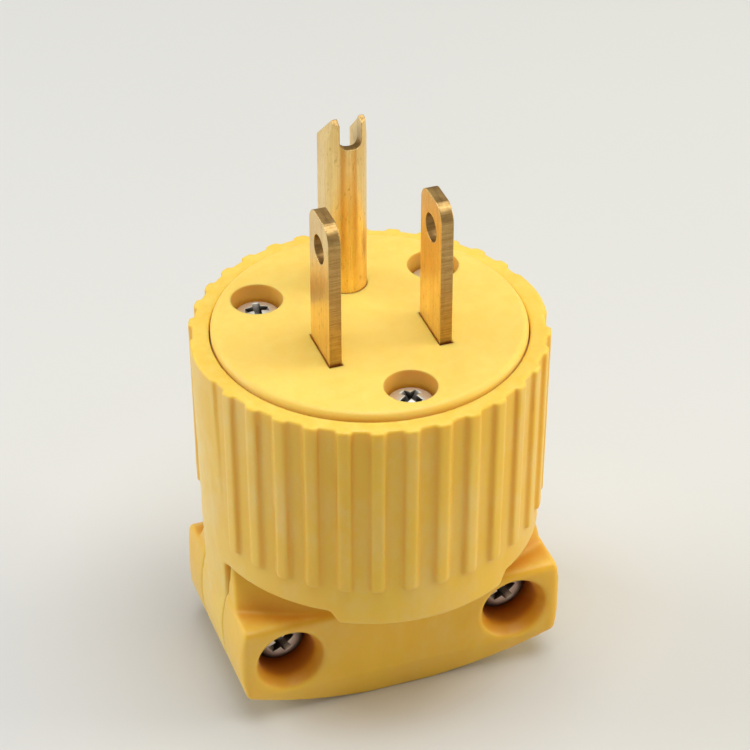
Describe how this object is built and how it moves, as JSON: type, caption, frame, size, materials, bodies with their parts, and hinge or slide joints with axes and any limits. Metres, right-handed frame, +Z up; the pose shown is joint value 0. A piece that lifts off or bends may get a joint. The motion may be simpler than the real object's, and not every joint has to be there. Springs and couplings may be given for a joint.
{
  "type": "rewireable mains plug",
  "caption": "Straight rewireable mains plug: ribbed round shell, flat blades and a U-shaped ground pin on a proud face disk, and a two-bar cord clamp with recessed screws at the rear.",
  "frame": {"origin": "on the shell's axis, in the plane the clamp bars rest on", "axes": "+Z up along the prongs, +X from the neutral blade to the hot blade, +Y toward the ground pin"},
  "size_m": [0.0402, 0.0402, 0.0669],
  "materials": {
    "yellow_nylon": "satin moulded nylon",
    "face_nylon": "fine matte moulded nylon",
    "black_nylon": "matte",
    "prong_brass": "rolled, unpolished",
    "plate_brass": "stamped",
    "screw_brass": "bright",
    "screw_zinc": "zinc plated",
    "screw_green": "green dyed plating"
  },
  "bodies": {
    "root": {"shell": "yellow_nylon", "blade_carrier": "face_nylon", "terminal_retainer": "black_nylon", "hot_blade": "prong_brass", "neutral_blade": "prong_brass", "ground_pin": "prong_brass", "hot_terminal_screw": "screw_brass", "neutral_terminal_screw": "screw_zinc", "ground_terminal_screw": "screw_green", "hot_pressure_plate": "plate_brass", "neutral_pressure_plate": "plate_brass", "ground_pressure_plate": "plate_brass", "face_screws": "screw_zinc", "front_clamp_bar": "yellow_nylon", "rear_clamp_bar": "yellow_nylon", "clamp_screws": "screw_zinc", "clamp_nuts": "screw_zinc"}
  },
  "joints": []
}
